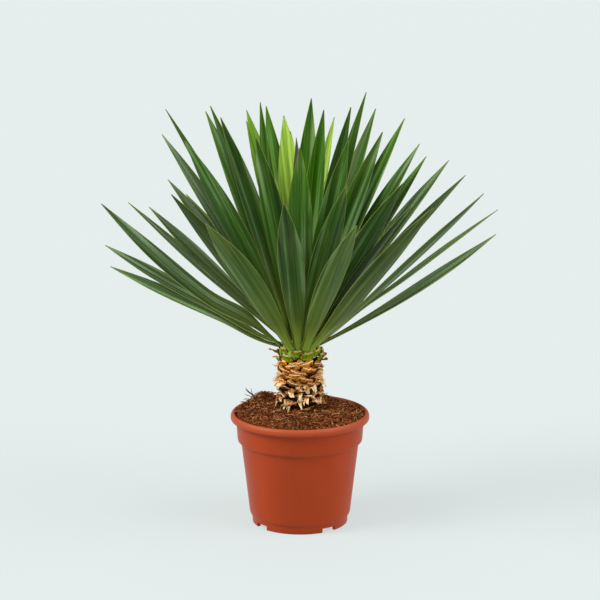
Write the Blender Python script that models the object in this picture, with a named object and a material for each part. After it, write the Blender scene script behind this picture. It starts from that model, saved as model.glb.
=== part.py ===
"""Potted yucca: a rosette of stiff sword leaves on a short scaly trunk, in a plastic nursery pot.

The origin is on the floor under the middle of the pot, +Z is up and the photograph looks along +Y.
A turn of 0 degrees points along +X, 90 along +Y, and 270 to the front, towards the viewer.
"""

import math
import random

import bmesh
import bpy
from mathutils import Matrix, Vector
from mathutils.bvhtree import BVHTree

GAP = 0.0003                 # clearance left between pieces that touch

# Pot, a turned shell with a wide collar under its lip
POT_HEIGHT = 0.171
LIP_RADIUS = 0.105
LIP_WIDTH = 0.0065
LIP_BOTTOM = 0.160
COLLAR_TOP_RADIUS = 0.0967
COLLAR_BOTTOM_RADIUS = 0.0945
COLLAR_BOTTOM = 0.1300
BODY_TOP_RADIUS = 0.0893
BODY_TOP = 0.1262
BODY_BOTTOM_RADIUS = 0.0764
BODY_BOTTOM = 0.0150
POT_WALL = 0.0016
FLOOR_UNDERSIDE = 0.0128
FLOOR_TOP = 0.0148
FOOT_OUTER_RADIUS = 0.0728
FOOT_INNER_RADIUS = 0.0664
NOTCH_TURNS = (-53.0, 37.0)  # each cut runs right across the foot, so it makes two notches
NOTCH_WIDTH = 0.014
NOTCH_HEIGHT = 0.0100
DRAIN_RADIUS = 0.005
DRAIN_CIRCLE = 0.050
DRAIN_COUNT = 8
POT_SIDES = 40

# Soil, domed up to the trunk and a little sunk at the back right
SOIL_RIM = 0.1680
SOIL_MIDDLE = 0.1790
SOIL_BUMP = 0.0016           # height of the low bumps in the surface
SOIL_TILT = 0.0016           # how far the left rim stands over the middle height
SOIL_RINGS = 8

# Trunk, standing in a plain hole in the soil
TRUNK_RADIUS = 0.028
TRUNK_FOOT = 0.125
TRUNK_TOP = 0.2510
TRUNK_SIDES = 24
SCALE_ROWS = 7
SCALES_IN_ROW = 8
FIRST_ROW = 0.1855
ROW_PITCH = 0.0088
SCALE_REACH = 0.0108         # how far a scale stands out from the stem
SCALE_WIDTH = 0.024
SCALE_THICKNESS = 0.0022

# Crown, the green end of the stem that carries the leaves
CROWN_TOP = 0.334
CROWN_SHAPE = ((TRUNK_TOP + GAP, 0.0265), (0.276, 0.0250), (0.297, 0.0185), (0.316, 0.0120),
               (CROWN_TOP, 0.0075))
STUBS_IN_ROW = 7
STUB_ROWS = 2
STUB_WIDTH = 0.023
STUB_HEIGHT = 0.0105
STUB_ROW_PITCH = 0.0065

# Leaves, measured from the middle of the rosette
ROSETTE_MIDDLE = Vector((0.0, 0.0, 0.275))
ROOT_LOWEST = 0.2690
ROOT_AT_LEVEL = 0.2350       # height at which a leaf with no rise would be rooted
ROOT_CLIMB_PER_DEGREE = 0.0009
CLIMB_STEP = 0.0010
CLIMB_LIMIT = 30
ROOT_THICKNESS = 0.0024
BLADE_THICKNESS = 0.0013
EDGE_THICKNESS = 0.0007
GUTTER = 0.20                # how far the margins rise, as a share of half the width
SWEEP = 0.010                # how far the middle swings aside, as a share of the length
WIDTH_PROFILE = ((0.00, 0.38), (0.05, 0.36), (0.13, 0.45), (0.25, 0.68), (0.40, 0.91), (0.54, 1.00),
                 (0.68, 0.92), (0.81, 0.66), (0.92, 0.31), (1.00, 0.035))

# One row a leaf, from the lowest up: turn and rise of its line in degrees, reach in
# millimetres from the middle of the rosette to the tip, widest width in millimetres, roll of
# the blade about its line in degrees, and arch of its middle in millimetres
LEAVES = (
    (156, 16, 336, 33, -12, 2), (154, 20, 360, 33, -15, 0), (22, 24, 358, 34, 6, -7),
    (138, 28, 365, 34, -10, 7), (60, 29, 320, 34, 0, 4), (125, 30, 368, 32, 0, 4),
    (100, 31, 320, 34, 0, 4), (151, 32, 360, 34, -8, 7), (10, 33, 362, 30, 0, 1),
    (78, 35, 335, 35, 0, 4), (186, 37, 368, 34, -22, -9), (136, 37, 362, 34, 0, 4),
    (114, 40, 345, 35, 0, 4), (26, 40, 370, 36, 0, 4), (286, 40, 364, 38, 0, 4),
    (242, 40, 360, 40, 20, 4), (354, 41, 360, 30, -12, -4), (37, 41, 385, 36, 0, 4),
    (93, 41, 350, 35, 0, 4), (310, 41, 380, 38, -12, 4), (68, 42, 355, 35, 0, 4),
    (44, 43, 376, 32, 0, 4), (265, 46, 364, 38, 0, 4), (44, 47, 380, 35, 0, 4),
    (314, 47, 332, 26, 0, 4), (304, 48, 380, 38, -12, 4), (217, 48, 342, 36, 22, 4),
    (82, 49, 370, 35, 0, 4), (285, 49, 376, 38, 0, 4), (53, 50, 371, 32, 0, 4),
    (106, 52, 370, 35, 0, 4), (125, 52, 340, 34, 0, 4), (159, 54, 380, 34, -15, 4),
    (221, 57, 395, 40, 20, 4), (38, 58, 384, 35, 0, 4), (270, 60, 380, 38, 0, 4),
    (95, 60, 345, 34, 0, 4), (180, 61, 408, 36, -15, 4), (291, 61, 384, 38, 0, 4),
    (107, 62, 383, 34, 0, 4), (312, 63, 384, 38, -12, 4), (46, 64, 380, 34, 0, 4),
    (248, 64, 375, 38, 0, 4), (118, 64, 335, 32, 0, 4), (157, 66, 378, 36, -20, 4),
    (83, 68, 382, 34, 0, 4), (218, 68, 385, 38, 15, 4), (189, 70, 388, 38, 32, 4),
    (30, 73, 392, 36, 0, 4), (345, 78, 371, 34, -35, 4), (299, 79, 371, 34, 0, 4),
    (208, 80, 377, 32, 15, -6),
)

# Heart, the young leaves about the growing tip, with the same six measures
HEART_LEAVES = (
    (170, 89, 314, 12, 0, 2), (166, 77, 361, 25, -35, 2), (162, 76, 345, 22, -35, 2),
    (125, 83, 344, 34, 0, 2), (32, 80, 345, 26, 15, 2), (60, 78, 330, 18, 0, 2),
    (275, 86, 295, 16, 0, 2),
)
HEART_RADIUS = 0.0065
HEART_PLUG_HEIGHT = 0.022
HEART_ROOT_OUT = 0.002       # how far from the axis a young leaf is rooted


def clear_scene():
    """Remove every object that the open file holds."""
    for thing in list(bpy.data.objects):
        bpy.data.objects.remove(thing)


def material(name, colour, roughness):
    """Return a plain Principled material."""
    made = bpy.data.materials.new(name)
    made.use_nodes = True
    shader = made.node_tree.nodes["Principled BSDF"]
    shader.inputs["Base Color"].default_value = (*colour, 1.0)
    shader.inputs["Roughness"].default_value = roughness
    shader.inputs["Metallic"].default_value = 0.0
    return made


def add_object(name, points, faces, finish=None):
    """Make an object of a closed mesh, with its faces turned outwards."""
    mesh = bpy.data.meshes.new(name)
    mesh.from_pydata([tuple(point) for point in points], [], faces)
    work = bmesh.new()
    work.from_mesh(mesh)
    bmesh.ops.recalc_face_normals(work, faces=work.faces)
    work.to_mesh(mesh)
    work.free()
    thing = bpy.data.objects.new(name, mesh)
    bpy.context.collection.objects.link(thing)
    if finish:
        mesh.materials.append(finish)
    return thing


def turned(profile, sides, height=None):
    """Return points and faces of an outline turned about Z, from a pole on the axis to a pole.

    height, where given, is a function of x, y and z that returns the height a point really has.
    """
    points = []
    rings = []
    for radius, level in profile:
        count = sides if radius > 0.0 else 1
        ring = []
        for step in range(count):
            angle = 2.0 * math.pi * step / sides
            x, y = radius * math.cos(angle), radius * math.sin(angle)
            ring.append(len(points))
            points.append((x, y, height(x, y, level) if height else level))
        rings.append(ring)
    faces = []
    for lower, upper in zip(rings, rings[1:]):
        for step in range(sides):
            after = (step + 1) % sides
            if len(lower) == 1:
                faces.append((lower[0], upper[after], upper[step]))
            elif len(upper) == 1:
                faces.append((lower[step], lower[after], upper[0]))
            else:
                faces.append((lower[step], lower[after], upper[after], upper[step]))
    return points, faces


def boolean(target, operation, other=None, group=None, solver="EXACT"):
    """Apply one Boolean to target, then remove the object or the collection it used."""
    change = target.modifiers.new("boolean", "BOOLEAN")
    change.operation = operation
    change.solver = solver
    if group:
        change.operand_type = "COLLECTION"
        change.collection = group
    else:
        change.object = other
    bpy.context.view_layer.objects.active = target
    bpy.ops.object.modifier_apply(modifier=change.name)
    for used in (list(group.objects) if group else [other]):
        bpy.data.objects.remove(used)
    if group:
        bpy.data.collections.remove(group)


def join_all(target, pieces, solver="EXACT"):
    """Fuse a list of objects into target by one Boolean union."""
    group = bpy.data.collections.new("pieces")
    bpy.context.scene.collection.children.link(group)
    for piece in pieces:
        bpy.context.collection.objects.unlink(piece)
        group.objects.link(piece)
    boolean(target, "UNION", group=group, solver=solver)


def blend(table, place):
    """Read a value from a table of places and values, along straight lines between them."""
    for (start, low), (end, high) in zip(table, table[1:]):
        if place <= end:
            return low + (high - low) * (place - start) / (end - start)
    return table[-1][1]


# Pot

def pot_profile():
    """Outline from under the floor, down the foot, up the outside, over the lip and down inside."""
    return [
        (0.0, FLOOR_UNDERSIDE),
        (FOOT_INNER_RADIUS, FLOOR_UNDERSIDE),
        (FOOT_INNER_RADIUS + 0.0006, 0.0),
        (FOOT_OUTER_RADIUS - 0.0006, 0.0),
        (FOOT_OUTER_RADIUS, FLOOR_UNDERSIDE),
        (BODY_BOTTOM_RADIUS - 0.0020, FLOOR_UNDERSIDE),
        (BODY_BOTTOM_RADIUS, BODY_BOTTOM + 0.0006),
        (BODY_TOP_RADIUS, BODY_TOP),
        (COLLAR_BOTTOM_RADIUS - 0.0016, BODY_TOP + 0.0010),
        (COLLAR_BOTTOM_RADIUS, COLLAR_BOTTOM),
        (COLLAR_TOP_RADIUS, LIP_BOTTOM - 0.0008),
        (LIP_RADIUS - 0.0022, LIP_BOTTOM),
        (LIP_RADIUS - 0.0005, LIP_BOTTOM + 0.0012),
        (LIP_RADIUS, LIP_BOTTOM + 0.0040),
        (LIP_RADIUS - 0.0008, POT_HEIGHT - 0.0028),
        (LIP_RADIUS - 0.0030, POT_HEIGHT - 0.0005),
        (LIP_RADIUS - 0.0048, POT_HEIGHT),
        (LIP_RADIUS - LIP_WIDTH, POT_HEIGHT - 0.0012),
        (COLLAR_TOP_RADIUS - POT_WALL, LIP_BOTTOM),
        (COLLAR_BOTTOM_RADIUS - POT_WALL, COLLAR_BOTTOM + 0.0008),
        (BODY_TOP_RADIUS - POT_WALL, BODY_TOP + 0.0005),
        (BODY_BOTTOM_RADIUS - POT_WALL, FLOOR_TOP),
        (0.0, FLOOR_TOP),
    ]


def make_pot(finish):
    """Turn the pot, then cut the notches in its foot and the drain holes in its floor."""
    pot = add_object("pot", *turned(pot_profile(), POT_SIDES), finish)
    for turn in NOTCH_TURNS:
        bpy.ops.mesh.primitive_cube_add(size=1.0, location=(0.0, 0.0, 0.0))
        bar = bpy.context.object
        bar.rotation_euler = (0.0, 0.0, math.radians(turn))
        bar.scale = (2.0 * LIP_RADIUS, NOTCH_WIDTH, 2.0 * NOTCH_HEIGHT)
        boolean(pot, "DIFFERENCE", bar)
    for step in range(DRAIN_COUNT):
        angle = math.radians(NOTCH_TURNS[0]) + 2.0 * math.pi * step / DRAIN_COUNT
        middle = (DRAIN_CIRCLE * math.cos(angle), DRAIN_CIRCLE * math.sin(angle), FLOOR_TOP)
        bpy.ops.mesh.primitive_cylinder_add(vertices=12, radius=DRAIN_RADIUS, depth=0.012,
                                            location=middle)
        boolean(pot, "DIFFERENCE", bpy.context.object)


# Soil

def soil_height(x, y, level):
    """Height of the soil at a place; points well under the surface keep their own level."""
    if level < SOIL_RIM - 0.010:
        return level
    out = (math.hypot(x, y) - TRUNK_RADIUS) / (COLLAR_TOP_RADIUS - TRUNK_RADIUS)
    dome = SOIL_RIM + (SOIL_MIDDLE - SOIL_RIM) * (1.0 - out ** 2.6)
    slope = -SOIL_TILT * (x + 0.5 * y) / COLLAR_TOP_RADIUS
    bump = math.sin(190.0 * x + 1.3) * math.cos(170.0 * y - 0.6) + 0.6 * math.sin(310.0 * (x - y))
    return dome + slope * out + SOIL_BUMP * bump * math.sin(math.pi * min(1.0, out))


def make_soil(finish):
    """Fill the pot, with a plain blind hole for the trunk."""
    hole = TRUNK_RADIUS + GAP
    wall = COLLAR_TOP_RADIUS - POT_WALL - 2.0 * GAP
    top = [(hole + (wall - hole) * ring / (SOIL_RINGS - 1), SOIL_RIM)
           for ring in range(SOIL_RINGS)]
    outline = [(0.0, TRUNK_FOOT - GAP), (hole, TRUNK_FOOT - GAP)] + top + [
        (COLLAR_BOTTOM_RADIUS - POT_WALL - 2.0 * GAP, COLLAR_BOTTOM + 0.0010),
        (BODY_TOP_RADIUS - POT_WALL - 2.0 * GAP, BODY_TOP),
        (BODY_BOTTOM_RADIUS - POT_WALL - 2.0 * GAP, FLOOR_TOP + GAP),
        (0.0, FLOOR_TOP + GAP)]
    return add_object("soil", *turned(outline, POT_SIDES, soil_height), finish)


# Trunk

def slab_faces():
    """Faces of a slab of three rows of three places, each place a lower and an upper point."""
    faces = []
    for row in range(2):
        for column in range(2):
            corner = (row * 3 + column) * 2
            right, ahead, both = corner + 2, corner + 6, corner + 8
            faces.append((corner, right, both, ahead))
            faces.append((corner + 1, ahead + 1, both + 1, right + 1))
        left, far = row * 6, row * 6 + 6
        faces.append((left, far, far + 1, left + 1))
        faces.append((left + 4, left + 5, far + 5, far + 4))
    return faces + [(0, 1, 3, 2), (2, 3, 5, 4), (12, 14, 15, 13), (14, 16, 17, 15)]


def scale_piece(turn, level, reach, rise, width, droop):
    """One dry leaf base: a broad blade with a blunt torn tip, its root sunk in the stem."""
    out = Vector((math.cos(turn), math.sin(turn), 0.0))
    side = Vector((-math.sin(turn), math.cos(turn), 0.0))
    up = Vector((0.0, 0.0, 1.0))
    rows = ((-0.004, 0.0, 0.50), (reach * 0.55, rise * 0.75, 0.42), (reach, rise - droop, 0.16))
    points = []
    for away, lift, half in rows:
        for across in (-1.0, 0.0, 1.0):
            bend = (1.0 - abs(across)) * width * (0.22 if away > 0.0 else 0.12)
            middle = out * (TRUNK_RADIUS + away - 0.12 * width + bend)
            place = middle + side * (across * half * width) + up * (level + lift)
            thick = SCALE_THICKNESS * (1.0 if abs(across) < 0.5 else 0.6)
            points.append(place - up * thick * 0.5 - out * thick * 0.2)
            points.append(place + up * thick * 0.5 + out * thick * 0.2)
    return add_object("scale", points, slab_faces())


def make_trunk(finish):
    """Build the stem, then fuse rows of dry scales on it; the lowest ones curl down."""
    draw = random.Random(7)
    outline = [(0.0, TRUNK_FOOT), (TRUNK_RADIUS, TRUNK_FOOT), (TRUNK_RADIUS, SOIL_MIDDLE),
               (TRUNK_RADIUS + 0.0015, TRUNK_TOP - 0.012), (TRUNK_RADIUS - 0.001, TRUNK_TOP),
               (0.0, TRUNK_TOP)]
    trunk = add_object("trunk", *turned(outline, TRUNK_SIDES), finish)
    scales = []
    for row in range(SCALE_ROWS):
        level = FIRST_ROW + row * ROW_PITCH
        high = row / (SCALE_ROWS - 1.0)
        for step in range(SCALES_IN_ROW):
            turn = 2.0 * math.pi * (step + 0.5 * (row % 2) + draw.uniform(-0.12, 0.12)) / SCALES_IN_ROW
            reach = SCALE_REACH * draw.uniform(0.80, 1.12)
            droop = 0.0065 * max(0.0, 1.0 - 2.2 * high) * draw.uniform(0.8, 1.1)
            rise = 0.0088 * draw.uniform(0.8, 1.1) * (0.5 + 0.5 * high)
            width = SCALE_WIDTH * draw.uniform(0.9, 1.1)
            scales.append(scale_piece(turn, level, reach, rise, width, droop))
    join_all(trunk, scales, "MANIFOLD")      # EXACT leaves open edges among this many overlaps


# Crown

def core_radius(level):
    """Radius of the leafy end of the stem at a height."""
    return blend(CROWN_SHAPE, max(level, CROWN_SHAPE[0][0]))


def stub_piece(turn, level):
    """The thick base of a leaf cut off short, with a flat cut end."""
    out = Vector((math.cos(turn), math.sin(turn), 0.0))
    side = Vector((-math.sin(turn), math.cos(turn), 0.0))
    up = Vector((0.0, 0.0, 1.0))
    rows = ((0.0, 0.0, 0.30), (STUB_HEIGHT * 0.55, 0.0035, 0.50), (STUB_HEIGHT, 0.0055, 0.36))
    points = []
    for lift, away, half in rows:
        for across in (-1.0, 0.0, 1.0):
            bend = (0.06 if across == 0.0 else -0.10) * STUB_WIDTH
            face = out * (core_radius(level) + away + bend) + side * (across * half * STUB_WIDTH)
            points.append(face - out * 0.0060 + up * (level + lift))
            points.append(face + out * 0.0012 + up * (level + lift))
    return add_object("stub", points, slab_faces())


def make_crown(finish):
    """Build the green end of the stem, ringed by the bases of leaves that were cut off."""
    outline = [(0.0, CROWN_SHAPE[0][0])] + [(radius, level) for level, radius in CROWN_SHAPE]
    crown = add_object("crown", *turned(outline + [(0.0, CROWN_TOP)], TRUNK_SIDES), finish)
    stubs = []
    for row in range(STUB_ROWS):
        for step in range(STUBS_IN_ROW):
            turn = 2.0 * math.pi * (step + 0.5 * row + 0.3) / STUBS_IN_ROW
            level = CROWN_SHAPE[0][0] + GAP + STUB_ROW_PITCH * row
            stubs.append(stub_piece(turn, level))
    join_all(crown, stubs)
    return crown


# Leaves

def leaf_mesh(root, tip, turn, width, roll, arch, number):
    """Points and faces of one sword blade from its root to its tip, with a shallow gutter."""
    line = tip - root
    length = line.length
    ahead = line.normalized()
    tangent = Vector((-math.sin(turn), math.cos(turn), 0.0))
    tangent = (tangent - ahead * tangent.dot(ahead)).normalized()
    upper = ahead.cross(tangent)
    middle = (root + tip) * 0.5
    middle += upper * 2.0 * arch
    middle += tangent * (SWEEP * length * math.sin(1.7 * number + 0.5))
    points = []
    for place, share in WIDTH_PROFILE:
        rest = 1.0 - place
        centre = root * rest * rest + middle * (2.0 * place * rest) + tip * place * place
        course = ((middle - root) * rest + (tip - middle) * place).normalized()
        twist = Matrix.Rotation(roll * min(1.0, place / 0.30), 3, course)
        across = twist @ (tangent - course * tangent.dot(course)).normalized()
        normal = course.cross(across)
        half = 0.5 * width * share
        thick = ROOT_THICKNESS + (BLADE_THICKNESS - ROOT_THICKNESS) * min(1.0, place / 0.4)
        lift = GUTTER * half
        edge = EDGE_THICKNESS * 0.5
        points += [centre - across * half + normal * (lift + edge),
                   centre + normal * thick * 0.5,
                   centre + across * half + normal * (lift + edge),
                   centre + across * half + normal * (lift - edge),
                   centre - normal * thick * 0.5,
                   centre - across * half + normal * (lift - edge)]
    faces = []
    for ring in range(len(WIDTH_PROFILE) - 1):
        for corner in range(6):
            after = (corner + 1) % 6
            first, second = ring * 6, ring * 6 + 6
            faces.append((first + corner, first + after, second + after))
            faces.append((first + corner, second + after, second + corner))
    last = len(points) - 6
    for start in (0, last):
        faces += [(start, start + 1, start + 4), (start, start + 4, start + 5),
                  (start + 1, start + 2, start + 3), (start + 1, start + 3, start + 4)]
    return points, faces


def leaf_line(turn, rise, reach):
    """Tip of a leaf whose line leaves the middle of the rosette."""
    level = math.cos(rise)
    aim = Vector((math.cos(turn) * level, math.sin(turn) * level, math.sin(rise)))
    return ROSETTE_MIDDLE + aim * reach


def make_leaves(finish, crown):
    """Set each leaf on the crown, as low as it goes without crossing one already set."""
    trees = [BVHTree.FromPolygons([point.co for point in crown.data.vertices],
                                  [face.vertices for face in crown.data.polygons])]
    for index, (turn, rise, reach, width, roll, arch) in enumerate(LEAVES):
        turn, rise, roll = math.radians(turn), math.radians(rise), math.radians(roll)
        tip = leaf_line(turn, rise, reach / 1000.0)
        away = Vector((math.cos(turn), math.sin(turn), 0.0))
        start = max(ROOT_LOWEST, ROOT_AT_LEVEL + ROOT_CLIMB_PER_DEGREE * math.degrees(rise))
        for climb in range(CLIMB_LIMIT):
            level = start + climb * CLIMB_STEP
            seat = core_radius(level) + 2.0 * GAP + 0.5 * ROOT_THICKNESS * math.sin(rise)
            root = away * seat + Vector((0.0, 0.0, level))
            points, faces = leaf_mesh(root, tip, turn, width / 1000.0, roll, arch / 1000.0, index)
            tree = BVHTree.FromPolygons(points, faces)
            if not any(tree.overlap(other) for other in trees):
                break
        trees.append(tree)
        add_object(f"leaf_{index + 1:02d}", points, faces, finish)


def make_heart(finish):
    """Fuse the young leaves about the growing tip into one bunch on top of the crown."""
    foot = CROWN_TOP + GAP
    outline = [(0.0, foot), (HEART_RADIUS, foot), (HEART_RADIUS * 0.8, foot + HEART_PLUG_HEIGHT * 0.6),
               (HEART_RADIUS * 0.4, foot + HEART_PLUG_HEIGHT), (0.0, foot + HEART_PLUG_HEIGHT)]
    heart = add_object("heart", *turned(outline, 12), finish)
    blades = []
    for index, (turn, rise, reach, width, roll, arch) in enumerate(HEART_LEAVES):
        turn, rise = math.radians(turn), math.radians(rise)
        tip = leaf_line(turn, rise, reach / 1000.0)
        root = Vector((HEART_ROOT_OUT * math.cos(turn), HEART_ROOT_OUT * math.sin(turn), foot + 0.006))
        points, faces = leaf_mesh(root, tip, turn, width / 1000.0, math.radians(roll),
                                  arch / 1000.0, index)
        blades.append(add_object("young", points, faces))
    join_all(heart, blades)


def main():
    """Build the whole plant in its pot."""
    clear_scene()
    make_pot(material("pot_plastic", (0.35, 0.048, 0.016), 0.45))
    make_soil(material("soil_fibre", (0.10, 0.035, 0.015), 0.95))
    make_trunk(material("dry_scales", (0.42, 0.24, 0.09), 0.85))
    crown = make_crown(material("green_stem", (0.16, 0.24, 0.03), 0.60))
    make_leaves(material("leaf_green", (0.035, 0.10, 0.022), 0.45), crown)
    make_heart(material("young_green", (0.20, 0.42, 0.03), 0.45))


main()
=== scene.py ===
"""Looks of a potted yucca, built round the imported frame.

The file is laid out as an add-on and run as a script. Each operator makes one piece, or one
group of like pieces, and main calls them in order. Lengths are in metres where no comment says
mm, +Z is up and the camera looks along +Y. A turn of 0 degrees points along +X and 270 towards
the camera.
"""

import random
from math import atan2, cos, exp, hypot, pi, radians, sin, sqrt

import bpy
import numpy as np
from bpy.props import FloatProperty, FloatVectorProperty, IntProperty, PointerProperty
from mathutils import Euler, Matrix, Vector, noise
from numpy.linalg import norm


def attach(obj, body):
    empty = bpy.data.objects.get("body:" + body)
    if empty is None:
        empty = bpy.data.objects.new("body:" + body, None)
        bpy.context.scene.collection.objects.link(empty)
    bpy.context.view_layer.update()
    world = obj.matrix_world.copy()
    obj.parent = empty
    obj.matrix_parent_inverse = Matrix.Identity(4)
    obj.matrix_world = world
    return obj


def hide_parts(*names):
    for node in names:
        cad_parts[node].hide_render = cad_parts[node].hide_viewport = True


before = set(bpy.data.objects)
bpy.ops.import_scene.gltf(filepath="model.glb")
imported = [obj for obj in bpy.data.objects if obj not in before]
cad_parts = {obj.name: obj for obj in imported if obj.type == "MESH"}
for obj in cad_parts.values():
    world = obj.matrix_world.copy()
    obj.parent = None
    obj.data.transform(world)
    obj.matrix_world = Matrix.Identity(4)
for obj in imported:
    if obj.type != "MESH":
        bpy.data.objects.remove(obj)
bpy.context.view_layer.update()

bl_info = {
    "name": "Potted yucca",
    "version": (1, 0, 0),
    "blender": (4, 5, 0),
    "location": "3D View > Sidebar > Yucca",
    "description": "Builds a potted yucca with its leaves, trunk, soil and pot",
    "category": "Add Mesh",
}

MM = 0.001

# Radius at which a turned piece is closed at its ends
CLOSED = 0.002

# Stem under the leaves, as radius by height
CORE = ((0.2516, 0.0265), (0.276, 0.025), (0.297, 0.0185), (0.316, 0.012), (0.334, 0.0075))
STEM_RADIUS = 0.0265
STEM_LEVELS = (0.15, 0.179, 0.22, 0.251)
STEM_SIDES = 48
ROSETTE_MIDDLE = Vector((0, 0, 0.275))

# Cut green bases: turn, height of the foot, rise, width and skew in mm
STUBS = (
    (291, 256.2, 13.8, 28, 1.2), (233, 253, 12.8, 25, -0.6), (263, 260.8, 12.6, 22, 0),
    (216, 265, 9.8, 22, -0.5), (196, 247.5, 11.5, 23, 0.5), (320, 259.5, 12.5, 24, 0.6),
    (343, 252, 12.6, 26, -0.4), (8, 257.5, 12, 24, 0.4), (35, 253, 12.8, 27, 0),
    (60, 260, 12, 23, 0.6), (84, 254.2, 12.4, 26, -0.6), (108, 261, 11.8, 22, 0.3),
    (131, 254.6, 12.8, 26, 0.5), (153, 260.5, 12, 24, -0.4), (174, 255.2, 12.2, 24, 0.2),
)
STUB_OUTLINE = ((0, 0.24), (0.25, 0.7), (0.5, 1), (0.72, 0.96), (0.875, 0.72), (1, 0.4))

# Dry bases wind down the stem in a spiral. They shrink from one step on and crumple from another
GOLDEN_ANGLE = 137.5
SCALE_COUNT = 57
SCALE_START = 145
SCALE_TOP = 0.2468
SCALE_PITCH = 0.00116
SHRINK_FROM = 22
CRUMPLE_FROM = 27
SCALE_OUTLINE = ((0, 0.5), (0.35, 0.94), (0.66, 1), (0.875, 0.72), (1, 0.3))
# Scales that fill gaps in the spiral: turn and height in mm
SPARE_SCALES = ((257, 226.8), (260, 245.5))
# Places along a base where its cut begins, which for an uncut one lies past its end
SCALE_CUT = 0.75
STUB_CUT = 0.875
UNCUT = 2
# The foot of a base starts sunk in the stem and rises out of it
FOOT_SUNK = 0.0012
FOOT_RISE = 0.0024

# Ways in which a torn strip bends: out from the stem and up, in mm from root to end
STRIP_COURSES = {
    "hang": ((0, 0), (5, 3), (8, 0), (8.5, -6), (7, -12)),
    "hook": ((0, 0), (6, 3), (10, -1), (9, -7), (4.5, -8)),
    "arch": ((0, 0), (4, 3.5), (8.5, 3), (12, -1), (13, -6)),
    "flat": ((0, 0), (3, 1), (4.5, -4), (5, -10), (5.5, -16)),
    "splay": ((0, 0), (3.5, 0.5), (7, -4.5), (9.5, -10.5), (12.5, -15)),
    "flake": ((1, 0), (5, 2.5), (9, 4), (13, 4.5)),
    "sag": ((1, 0), (5, 2), (9.5, 1.5), (13.5, -1.5)),
    "out": ((0, 0), (5, 1), (10, 2), (15, 2.5)),
    "up": ((0, 0), (6, 2), (14, 5.5), (23, 8.5)),
    "ring": ((0, 0), (4, 2.5), (8.5, 1.5), (9.5, -3), (6.5, -6), (3.5, -4)),
    "bowl": ((0, 1), (4.5, -1), (8.5, -2), (11, 0), (11.5, 2)),
}
STRIP_THICKNESS = 0.0009
# Torn strips that face the camera: turn, height in mm, way of bending, width in mm and prongs
CURLS = (
    (264, 223.5, "flat", 12, 1), (289, 220.5, "flat", 9, 1), (230, 219, "arch", 8, 1),
    (207, 214, "ring", 7, 1), (243, 209, "hang", 8, 1), (294, 204, "bowl", 16, 1),
    (222, 205, "bowl", 14, 1), (254, 211, "hook", 7, 1), (312, 214, "arch", 8, 2),
    (332, 219, "arch", 9, 2), (190, 219, "arch", 10, 2), (276, 200, "splay", 18, 3),
    (242, 195, "splay", 14, 3), (306, 196.5, "ring", 8, 1), (324, 196, "bowl", 9, 2),
    (214, 196, "ring", 8, 1), (262, 203, "hang", 8, 2), (341, 206, "ring", 8, 1),
)
# Flakes that stand off at the sides, and dried tips: turn, height in mm, way of bending and width in mm
FLAKES = (
    (202, 231, "sag", 13), (186, 240, "flake", 9), (197, 220, "sag", 11), (212, 227, "flake", 8),
    (338, 229, "flake", 12), (325, 222, "sag", 11), (350, 221, "sag", 10), (345, 240, "flake", 9),
    (318, 234, "flake", 10), (6, 233, "sag", 11),
)
DRIED_TIPS = (
    (183, 262, "up", 9), (190, 256, "out", 10), (355, 260.5, "out", 9), (346, 255.5, "out", 10),
    (352, 250.5, "up", 9), (20, 259, "out", 8), (70, 262, "out", 8), (115, 258, "up", 7),
    (150, 256, "out", 8),
)

# Young leaves about the growing tip: finish, turn, rise, reach and width in mm, roll, and arch in mm
YOUNG_LEAVES = (
    ("grey_spear", "grey", 170, 89, 314, 20, -75, 2), ("left_green", "fresh", 166, 77, 361, 30, -72, 2),
    ("left_lime", "fresh", 162, 76, 345, 26, -72, 2), ("middle_lime", "lime", 125, 83, 344, 39, -30, 2),
    ("right_lime", "lime", 32, 80, 345, 26, 15, 2), ("back_right", "green", 60, 78, 330, 18, 0, 2),
    ("front_spear", "lime", 275, 86, 295, 16, 0, 2),
)
YOUNG_ROOT_OUT = 0.002
YOUNG_ROOT_LEVEL = 0.3403
YOUNG_PROFILE = ((0, 0.38), (0.05, 0.36), (0.13, 0.45), (0.25, 0.68), (0.4, 0.91), (0.54, 1),
                 (0.68, 0.92), (0.81, 0.66), (0.92, 0.31), (1, 0.035))
YOUNG_ROWS = 28
BUD_OUTLINE = ((0.007, 0.3343), (0.0062, 0.344), (0.0042, 0.352), (0.0008, 0.357))

# Grown leaves are read from their solids at this many places. Corners this near to the tip, root
# or margin of a solid belong to it, and the rib lies this far over the bottom of its gutter
LEAF_ROWS = 30
NEAR_TIP = 0.002
NEAR_ROOT = 0.0015
NEAR_MARGIN = 0.0004
RIB_LIFT = 0.0008
# How much the first rows of a leaf are widened, and the rows that clasp the stem under them: how
# far down and half how wide
ROOT_WIDENING = (1.15, 1.1, 1.04)
SHEATH = ((0.013, 0.0088), (0.008, 0.0084), (0.004, 0.0078))
# Grown leaves that differ a little from their solids: roll in degrees, width of the lower half and sag
# in mm, then how far some dip near the root in mm, the place of that dip and how much wider they are there
RESHAPED = {
    1: (0, 0.72, 4, 7, 0.14), 2: (0, 0.72, 4, 6, 0.14), 3: (0, 0.82, 2), 4: (8, 0.85, 12),
    8: (14, 0.85, 13), 9: (0, 0.66, 2, -4, 0.26), 11: (-14, 0.9, 5, -10, 0.18, 0.9),
    17: (-18, 0.85, 0), 20: (0, 1.12, 4, 4, 0.25, 0.1),
}
DIP_LENGTH = 0.14
# A leaf turns to its full roll over this share of its length from the root
ROLL_SHARE = 0.3
# Leaves whose finish differs from the deep green of the rest
LEAF_FINISHES = {
    "grey": (1, 2, 3, 4, 8, 9, 11, 12, 14, 17, 18, 33),
    "vivid": (25, 26, 39, 40, 46, 49, 50, 51, 52),
    "olive": (15, 16, 20, 27),
}
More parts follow.
